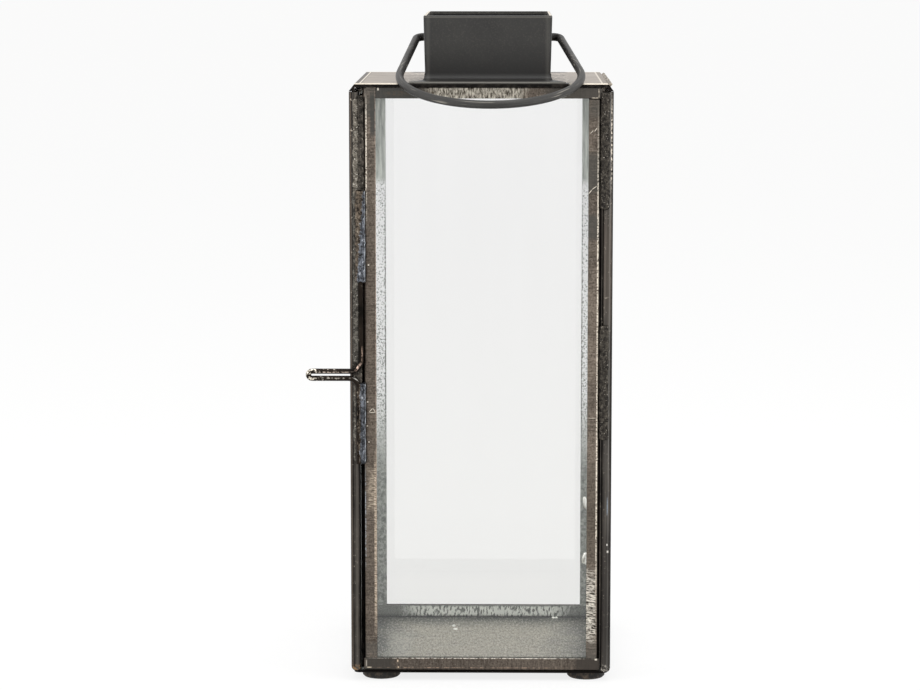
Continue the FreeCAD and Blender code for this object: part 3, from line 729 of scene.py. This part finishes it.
# Scratches and solder spots lie within about 11 mm of the chimney's sides.
chimney_middle = 0.0031
off_middle = maths(tree, "SUBTRACT", axes.outputs["X"], chimney_middle)
off_middle = maths(tree, "ABSOLUTE", off_middle)
near_chimney = ramp(tree, off_middle, 0.0420, 0.0400)
for low, high, shade in ((0.54, 0.64, "#e0d7c9"), (0.44, 0.36, "#453e37")):
    spots = ramp(tree, crumbs, low, high)
    spots = maths(tree, "MULTIPLY", spots, near_chimney)
    colour = blend(tree, spots, colour, shade)
# The folds are rubbed to a thin pale line that is also a painted highlight, brown beyond it; in front of
# the chimney the edge is painted dark as shade.
depth = maths(tree, "ABSOLUTE", axes.outputs["Y"])
for value, low, high, shade in (
    (axes.outputs["X"], -0.0586, -0.0589, "#5f554b"),
    (axes.outputs["X"], -0.0591, -0.0593, "#e2d8c8"),
    (axes.outputs["X"], -0.0599, -0.0601, "#4a4038"),
    (axes.outputs["X"], 0.0588, 0.0591, "#ded4c5"),
    (axes.outputs["X"], 0.0596, 0.0599, "#8d8174"),
    (depth, 0.0600, 0.0625, "#e2d8c8"),
):
    fold = ramp(tree, value, low, high)
    colour = blend(tree, fold, colour, shade)
before = ramp(tree, depth, 0.0560, 0.0580)
shaded = ramp(tree, off_middle, 0.0420, 0.0395)
before = maths(tree, "MULTIPLY", before, shaded)
colour = blend(tree, before, colour, "#1d1b19")
# The bevels, the lips and the undersides are painted black as shade.
below = ramp(tree, axes.outputs["Z"], 0.29940, 0.29915)
lip = ramp(tree, depth, 0.0636, 0.0640)
side = maths(tree, "ABSOLUTE", axes.outputs["X"])
bevel = ramp(tree, side, 0.0603, 0.0607)
black = maths(tree, "MAXIMUM", lip, bevel)
black = maths(tree, "MULTIPLY", black, below)
level = ramp(tree, crumbs, 0.45, 0.7)
soot_and_shade = blend(tree, level, "#1b1918", "#403b36")
colour = blend(tree, black, colour, soot_and_shade)
roughness = ramp(tree, streaks, 0.3, 0.7, 0.48, 0.36)
bump = add(tree, "Bump", {"Height": crumbs, "Strength": 0.25, "Distance": 0.0003})
metal(tree, colour, roughness, bump)
dress(wiped_and_sheen_roof, "roof")
break_edges("roof")


# Roof solder: a thin crumbly seam on the roof's right bevel, where the sheet is soldered to the panel
# below. It was left unblackened, so it shows as a pale strip beside the dark roof edge.
bevel_slope = math.radians(37.6)
roof_seam = bar("roof_seam", (-0.0023, -0.0590, -0.0004), (0.0023, 0.0590, 0.0006))
bpy.ops.object.mode_set(mode="EDIT")
bpy.ops.mesh.select_all(action="SELECT")
bpy.ops.transform.rotate(value=bevel_slope, orient_axis="Y", center_override=(0.0, 0.0, 0.0))
bpy.ops.transform.translate(value=(0.0624, 0.0, 0.2979))
bpy.ops.object.mode_set(mode="OBJECT")
roughen(roof_seam, 0.00035, ((0.0050, 0.0007), (0.0016, 0.0006)))
# Pale solder: beige with brown crumbs.
pale_solder = rough_solder("pale_tin_solder", "#6b6156", "#c2b7a7", "#ece5d8", 0.58)
roof_seam.data.materials.append(pale_solder)
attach(roof_seam, "body")


# Chimney and bail: a folded steel tube with a hemmed mouth and flared foot, and the wire handle in it.
# Both were powder-coated a satin charcoal before they were fitted, so they stay cleaner than the brass.


def start_coat(name, deep, pale):
    """Satin powder coat: a fine grain on two close tones."""
    finish, tree, place = start_finish(name)
    # The coat's grain is about 0.2 mm, drawn 0.7 mm so that it shows.
    grain = cloud_noise(tree, place, 0.7, 2.0, 0.5)
    clouds = cloud_noise(tree, place, 18, 4.0, 0.6)
    level = ramp(tree, clouds, 0.35, 0.65)
    colour = blend(tree, level, deep, pale)
    level = ramp(tree, grain, 0.50, 0.70, 0.0, 0.15)
    colour = blend(tree, level, colour, "#5c574f")
    return finish, tree, place, clouds, grain, colour


def end_coat(finish, tree, clouds, grain, colour):
    """Makes the satin surface of a powder coat."""
    roughness = ramp(tree, clouds, 0.3, 0.7, 0.40, 0.50)
    bump = add(tree, "Bump", {"Height": grain, "Strength": 0.1, "Distance": 0.0002})
    satin(tree, colour, roughness, 1.5, bump)
    return finish


# Powder-coated steel sheet: an even satin charcoal with a fine orange-peel grain, black with soot inside.
coat, tree, place, clouds, grain, colour = start_coat("powder_coat_charcoal_sheet", "#2a2928", "#31302e")
axes = add(tree, "SeparateXYZ", {"Vector": place})
soot_and_shade = box_mask(tree, place, (chimney_middle, 0.0, 0.3150), (0.0307, 0.0424, 0.0168), edge=0.004)
colour = blend(tree, soot_and_shade, colour, "#0d0c0c")
# The lower part of the tube is painted a little darker as shade.
low = ramp(tree, axes.outputs["Z"], 0.3200, 0.3040, 0.0, 0.7)
colour = blend(tree, low, colour, "#191817")
# The folded corners are painted with soft upright bands of painted highlight and a dark line of painted
# shade outside them, and the hem and the foot's edge with a thin painted highlight.
depth = maths(tree, "ABSOLUTE", axes.outputs["Y"])
off_middle = maths(tree, "SUBTRACT", axes.outputs["X"], chimney_middle)
off_middle = maths(tree, "ABSOLUTE", off_middle)
for value, middle, half, shade, share in (
    (off_middle, 0.0296, 0.0014, "#55534e", 0.4),
    (off_middle, 0.0314, 0.0006, "#141312", 0.8),
    (axes.outputs["Z"], 0.3314, 0.0005, "#66635d", 0.6),
    (depth, 0.0644, 0.0004, "#7b7872", 0.8),
):
    off = maths(tree, "SUBTRACT", value, middle)
    off = maths(tree, "ABSOLUTE", off)
    band = ramp(tree, off, half, 0.0, 0.0, share)
    colour = blend(tree, band, colour, shade)
# The side walls are bare on their cut tops.
top = maths(tree, "GREATER_THAN", axes.outputs["Z"], 0.3322)
side = ramp(tree, off_middle, 0.0303, 0.0307)
bare = maths(tree, "MULTIPLY", top, side)
colour = blend(tree, bare, colour, "#d6ccbd")
dress(end_coat(coat, tree, clouds, grain, colour), "chimney")

# Powder-coated steel wire: the same coat, a little paler, with painted shade underneath and strokes rubbed
# along it.
coat, tree, place, clouds, grain, colour = start_coat("powder_coat_charcoal_wire", "#312f2e", "#3a3937")
# The strokes follow the wire: they are drawn on the distance and angle from the middle of its round bow.
in_bow = add(
    tree,
    "Mapping",
    {"Vector": place, "Location": (0.0045, -0.0601, 0.3035), "Rotation": (0.273, 0.0, 0.0)},
    vector_type="TEXTURE",
)
axes = add(tree, "SeparateXYZ", {"Vector": in_bow})
flat = add(tree, "VectorMath", {0: in_bow, 1: (1.0, 1.0, 0.0)}, operation="MULTIPLY")
reach = add(tree, "VectorMath", {0: flat}, operation="LENGTH")
angle = maths(tree, "ARCTAN2", axes.outputs["Y"], axes.outputs["X"])
stroke_place = add(tree, "CombineXYZ", {"X": reach, "Y": angle, "Z": axes.outputs["Z"]})
# Each stroke is a hair wide, drawn 0.7 mm wide and about 20 mm long round a bow of 44.6 mm radius.
bow_radius = 44.6
spacing = (1000 / 0.7, bow_radius / 20, 1000 / 0.7)
stroke_place = add(tree, "VectorMath", {0: stroke_place, 1: spacing}, operation="MULTIPLY")
strokes = add(tree, "TexNoise", {"Vector": stroke_place, "Scale": 1.0, "Detail": 2.0, "Roughness": 0.5})
# Dark strokes, painted shade under the wire, and pale rubbed strokes.
for value, low, high, share, shade in (
    (strokes, 0.48, 0.32, 0.6, "#1f1e1d"),
    (axes.outputs["Z"], -0.0002, -0.0016, 0.7, "#161514"),
    (strokes, 0.62, 0.70, 0.5, "#aaa498"),
):
    level = ramp(tree, value, low, high, 0.0, share)
    colour = blend(tree, level, colour, shade)
dress(end_coat(coat, tree, clouds, grain, colour), "bail_handle")



# Door pull: one brass wire bent into a hairpin, its two ends spread up and down along the door's front
# edge. The wire is soldered on by two long beads, and fingers have rubbed its patina through to the brass.

# Blackened brass wire: nearly black, with rubbed bright specks, shinier where it is handled.
worn_wire, tree, place = start_finish("blackened_brass_wire_rubbed")
axes = add(tree, "SeparateXYZ", {"Vector": place})
rub = cloud_noise(tree, place, 1.5, 4.0, 0.7)
patches = cloud_noise(tree, place, 9, 3.0, 0.5)
level = ramp(tree, patches, 0.35, 0.65)
colour = blend(tree, level, "#171513", "#2e2823")
# The loop's end is rubbed most.
loop = ramp(tree, axes.outputs["X"], -0.066, -0.086, 0.66, 0.52)
above = maths(tree, "SUBTRACT", rub, loop)
specks = ramp(tree, above, 0.0, 0.06)
colour = blend(tree, specks, colour, "#efe6d6")
# A painted highlight runs along each wire and round the outside of each bend, in cream, grey or copper,
# broken into dots by the rubbed pattern.
wire_line = -0.0660
for middle, half, turn, shade, low, high in (
    ((-0.0725, wire_line, 0.1571), (0.0110, 0.02, 0.00045), 0.0, "#d3c1b3", 0.44, 0.60),
    ((-0.0740, wire_line, 0.1542), (0.0110, 0.02, 0.00035), 0.0, "#b9b3a8", 0.50, 0.62),
    ((-0.0607, wire_line, 0.1598), (0.0028, 0.02, 0.00070), -0.95, "#cdb2a2", 0.40, 0.54),
    ((-0.0588, wire_line, 0.1660), (0.0005, 0.02, 0.00450), 0.0, "#a08a7b", 0.40, 0.54),
    ((-0.0616, wire_line, 0.1535), (0.0024, 0.02, 0.00040), 0.6, "#c9c6c0", 0.30, 0.44),
):
    line = box_mask(tree, place, middle, half, turn=turn, edge=0.6)
    wear_and_highlight_dots = ramp(tree, rub, low, high)
    line = maths(tree, "MULTIPLY", line, wear_and_highlight_dots)
    colour = blend(tree, line, colour, shade)
roughness = ramp(tree, rub, 0.3, 0.7, 0.42, 0.26)
bump = add(tree, "Bump", {"Height": rub, "Strength": 0.35, "Distance": 0.0003})
metal(tree, colour, roughness, bump)
dress(worn_wire, "door_pull", "hinge_pins")

# Bare solder: blue-grey towards the gap and brown flux towards the door, with ridges drawn by the iron.
bare_solder, tree, place = start_finish("bare_tin_solder_drawn")
axes = add(tree, "SeparateXYZ", {"Vector": place})
ridges = drawn_noise(tree, place, (1.0, 1.0, 5), 5.0, 0.7)
pits = cloud_noise(tree, place, 1.3, 5.0, 0.7)
level = ramp(tree, ridges, 0.40, 0.58)
colour = blend(tree, level, "#3a3c40", "#767a82")
level = ramp(tree, pits, 0.59, 0.68)
colour = blend(tree, level, colour, "#d2d6db")
level = ramp(tree, pits, 0.47, 0.39)
colour = blend(tree, level, colour, "#232324")
high_up = ramp(tree, axes.outputs["Z"], 0.222, 0.246, 0.0, 0.7)
colour = blend(tree, high_up, colour, "#33353a")
# Brown flux leaves a wedge of bare solder that widens downwards on the upper bead, and half of the lower.
border = ramp(tree, axes.outputs["Z"], 0.2475, 0.2005, -0.0578, -0.0610)
on_lower = maths(tree, "LESS_THAN", axes.outputs["Z"], 0.160)
dull = cloud_noise(tree, place, 3.5, 3.0, 0.6)
dull = ramp(tree, dull, 0.56, 0.44, 0.0, 0.65)
dull = maths(tree, "MULTIPLY", on_lower, dull)
colour = blend(tree, dull, colour, "#25272a")
border = maths(tree, "MULTIPLY_ADD", on_lower, 0.0014, border)
ragged = maths(tree, "MULTIPLY_ADD", pits, 0.0060, axes.outputs["X"])
ragged = maths(tree, "SUBTRACT", ragged, 0.0030)
beyond = maths(tree, "SUBTRACT", border, ragged)
flux_level = ramp(tree, beyond, 0.0, 0.0004)
level = ramp(tree, pits, 0.40, 0.60)
flux = blend(tree, level, "#24211e", "#75695c")
level = ramp(tree, ridges, 0.60, 0.68)
flux = blend(tree, level, flux, "#c2b5a3")
colour = blend(tree, flux_level, colour, flux)
# A painted highlight runs as a bright line beside the gap, and the side that faces the gap is painted black
# as shade.
line = maths(tree, "COMPARE", axes.outputs["X"], -0.0573, 0.0002)
level = ramp(tree, ridges, 0.40, 0.52, 0.0, 0.8)
line = maths(tree, "MULTIPLY", line, level)
colour = blend(tree, line, colour, "#b5bac1")
shadow = ramp(tree, axes.outputs["X"], -0.0571, -0.0569)
colour = blend(tree, shadow, colour, "#0d0c0c")
roughness = ramp(tree, pits, 0.3, 0.7, 0.5, 0.3)
relief = maths(tree, "ADD", ridges, pits)
bump = add(tree, "Bump", {"Height": relief, "Strength": 0.5, "Distance": 0.0005})
metal(tree, colour, roughness, bump)
pull_beads = copy_bead("pull_beads", "pull_solder")
roughen(pull_beads, 0.0004, ((0.0050, 0.0012), (0.0014, 0.0006)))
pull_beads.data.materials.append(bare_solder)
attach(pull_beads, "door")
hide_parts("pull_solder")


# Hinges: two pairs of leaves with rolled knuckles at the back left corner, and headed pins through them.
# One leaf of each is soldered to the back panel and one to the door, all blackened with the frames.
dress(blackened, "hinge_leaves_body", "hinge_leaves_door")
break_edges("hinge_leaves_body", "hinge_leaves_door")


# Studio: a pale floor under soft light from above and both sides, with white all round.
# The lamps and the world light the lantern at a plain level.


def in_view(tree):
    """1 for what is seen, straight, mirrored or through glass, and 0 for the light that falls on things."""
    path = add(tree, "LightPath")
    seen = maths(tree, "MAXIMUM", path.outputs["Is Camera Ray"], path.outputs["Is Glossy Ray"])
    return maths(tree, "MAXIMUM", seen, path.outputs["Is Transmission Ray"])


bpy.ops.object.select_all(action="DESELECT")
bpy.ops.mesh.primitive_plane_add(size=60.0, location=(0.0, 0.0, 0.0))
floor = bpy.context.active_object
floor.name = "studio_floor"
# Painted board: plain white. Four fifths of what is seen of it is its own glow, so shadows on it are soft.
white_board, tree, place = start_finish("white_painted_board")
matt = add(tree, "BsdfDiffuse", {"Color": linear("#f7f7f6")})
glow = add(tree, "Emission", {"Color": (1.0, 1.0, 1.0, 1.0), "Strength": 1.0})
share = maths(tree, "MULTIPLY", in_view(tree), 0.8)
shader = add(tree, "MixShader", {0: share, 1: matt, 2: glow})
add(tree, "OutputMaterial", {"Surface": shader})
floor.data.materials.append(white_board)

world = bpy.data.worlds.new("white_studio")
bpy.context.scene.world = world
world.use_nodes = True
tree = world.node_tree
tree.nodes.clear()
level = ramp(tree, in_view(tree), 0.0, 1.0, 0.85, 1.0)
sky = add(tree, "Background", {"Color": (1.0, 1.0, 1.0, 1.0), "Strength": level})
add(tree, "OutputWorld", {"Surface": sky})

for name, spot, size, power in (
    ("softbox_above", (0.1, -0.35, 1.5), 1.2, 8.0),
    ("softbox_left", (-1.3, -1.0, 0.9), 0.8, 6.0),
    ("softbox_right", (1.4, -0.8, 0.8), 0.8, 6.0),
):
    lamp = bpy.data.lights.new(name, "AREA")
    lamp.size = size
    lamp.energy = power
    softbox = bpy.data.objects.new(name, lamp)
    bpy.context.scene.collection.objects.link(softbox)
    softbox.location = spot
    aim = softbox.location.copy()
    aim.z -= 0.15
    softbox.rotation_euler = aim.to_track_quat("Z", "Y").to_euler()


# Camera: at the height of the roof, a little right of the middle, looking slightly down at the front panel.
lens = bpy.data.cameras.new("front_camera")
lens.sensor_width = 36.0
lens.lens = 119.68
camera = bpy.data.objects.new("front_camera", lens)
bpy.context.scene.collection.objects.link(camera)
camera.location = (0.0116, -1.566, 0.3709)
looks_down = 7.603
turned_left = 0.839
camera.rotation_euler = (math.radians(90 - looks_down), 0.0, math.radians(turned_left))
bpy.context.scene.camera = camera
bpy.context.scene.view_settings.view_transform = "Standard"
